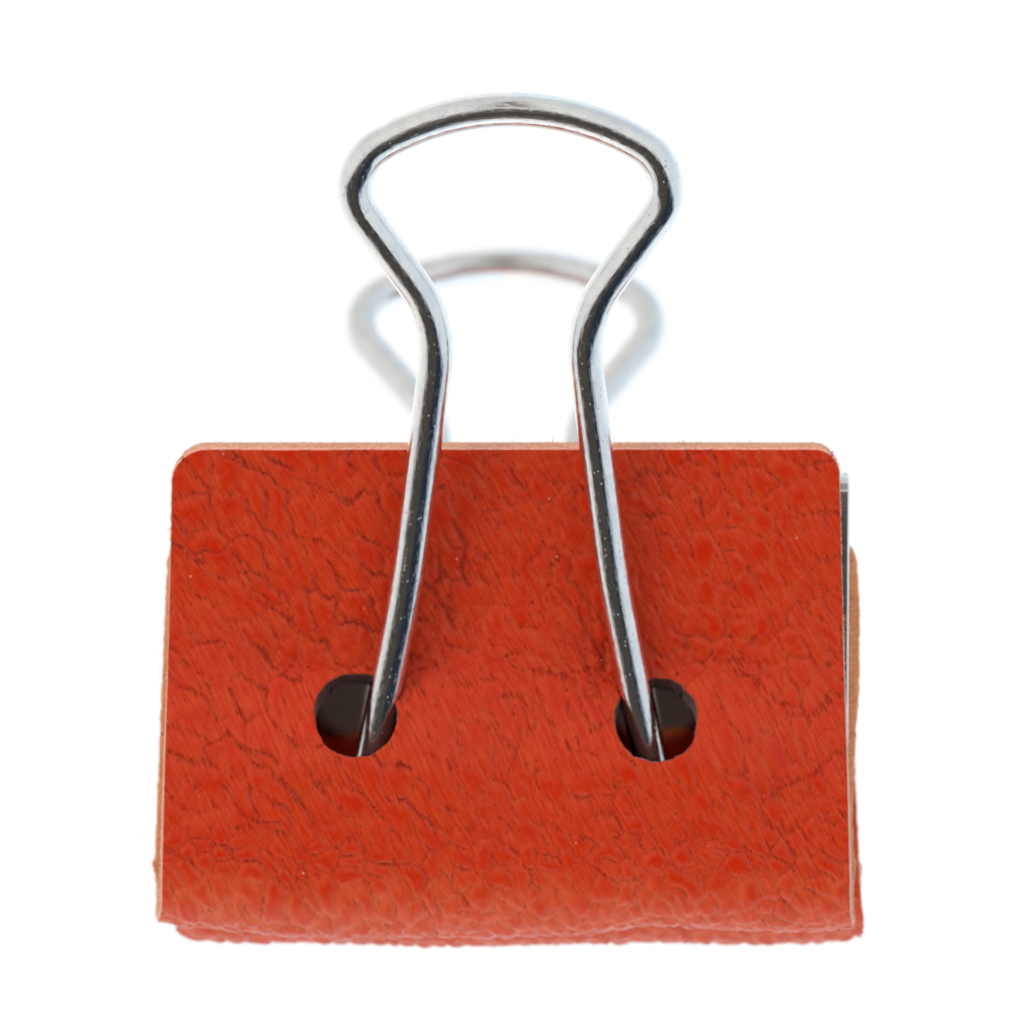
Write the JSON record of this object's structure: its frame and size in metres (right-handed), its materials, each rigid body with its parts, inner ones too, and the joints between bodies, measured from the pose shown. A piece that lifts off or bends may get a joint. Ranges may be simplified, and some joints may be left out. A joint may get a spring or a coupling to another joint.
{
  "type": "binder clip",
  "caption": "Foldback binder clip of plated spring steel with bent-wire handles raised past the spine and a leather cover folded over each jaw.",
  "frame": {"origin": "middle of the spine plate's outer face, on the clip's mid-plane", "axes": "+Z out of the spine, away from the jaws; +X across the clip, along the bite line; -Y towards the front jaw, the one nearer the viewer in the source view"},
  "size_m": [0.0337, 0.0392, 0.0368],
  "materials": {
    "plated_spring_steel": "bright nickel plate",
    "plated_wire": "bright nickel plate, faintly drawn",
    "cover_leather": "orange-red pebbled grain, semi-matt, raw peach-coloured cut edges"
  },
  "bodies": {
    "spine": {"spine_plate": "plated_spring_steel"},
    "front_jaw": {"front_leaf": "plated_spring_steel", "front_cover_fold": "cover_leather"},
    "front_lever": {"front_handle": "plated_wire", "front_cover_flap": "cover_leather"},
    "back_jaw": {"back_leaf": "plated_spring_steel", "back_cover_fold": "cover_leather"},
    "back_lever": {"back_handle": "plated_wire", "back_cover_flap": "cover_leather"}
  },
  "joints": [
    {"name": "front_jaw_open", "type": "hinge", "parent": "spine", "child": "front_jaw", "pos_m": [0, -0.00664, -0.00092], "axis": [-1, 0, 0], "range_deg": [0, 20]},
    {"name": "back_jaw_open", "type": "hinge", "parent": "spine", "child": "back_jaw", "pos_m": [0, 0.00664, -0.00092], "axis": [1, 0, 0], "range_deg": [0, 20]},
    {"name": "front_handle_swing", "type": "hinge", "parent": "front_jaw", "child": "front_lever", "pos_m": [0, -0.0029, -0.01835], "axis": [1, 0, 0], "range_deg": [0, 20]},
    {"name": "back_handle_swing", "type": "hinge", "parent": "back_jaw", "child": "back_lever", "pos_m": [0, 0.0029, -0.01835], "axis": [-1, 0, 0], "range_deg": [0, 20]}
  ],
  "couplings": [
    {"joint": "back_jaw_open", "follows": "front_jaw_open", "ratio": 1}
  ]
}
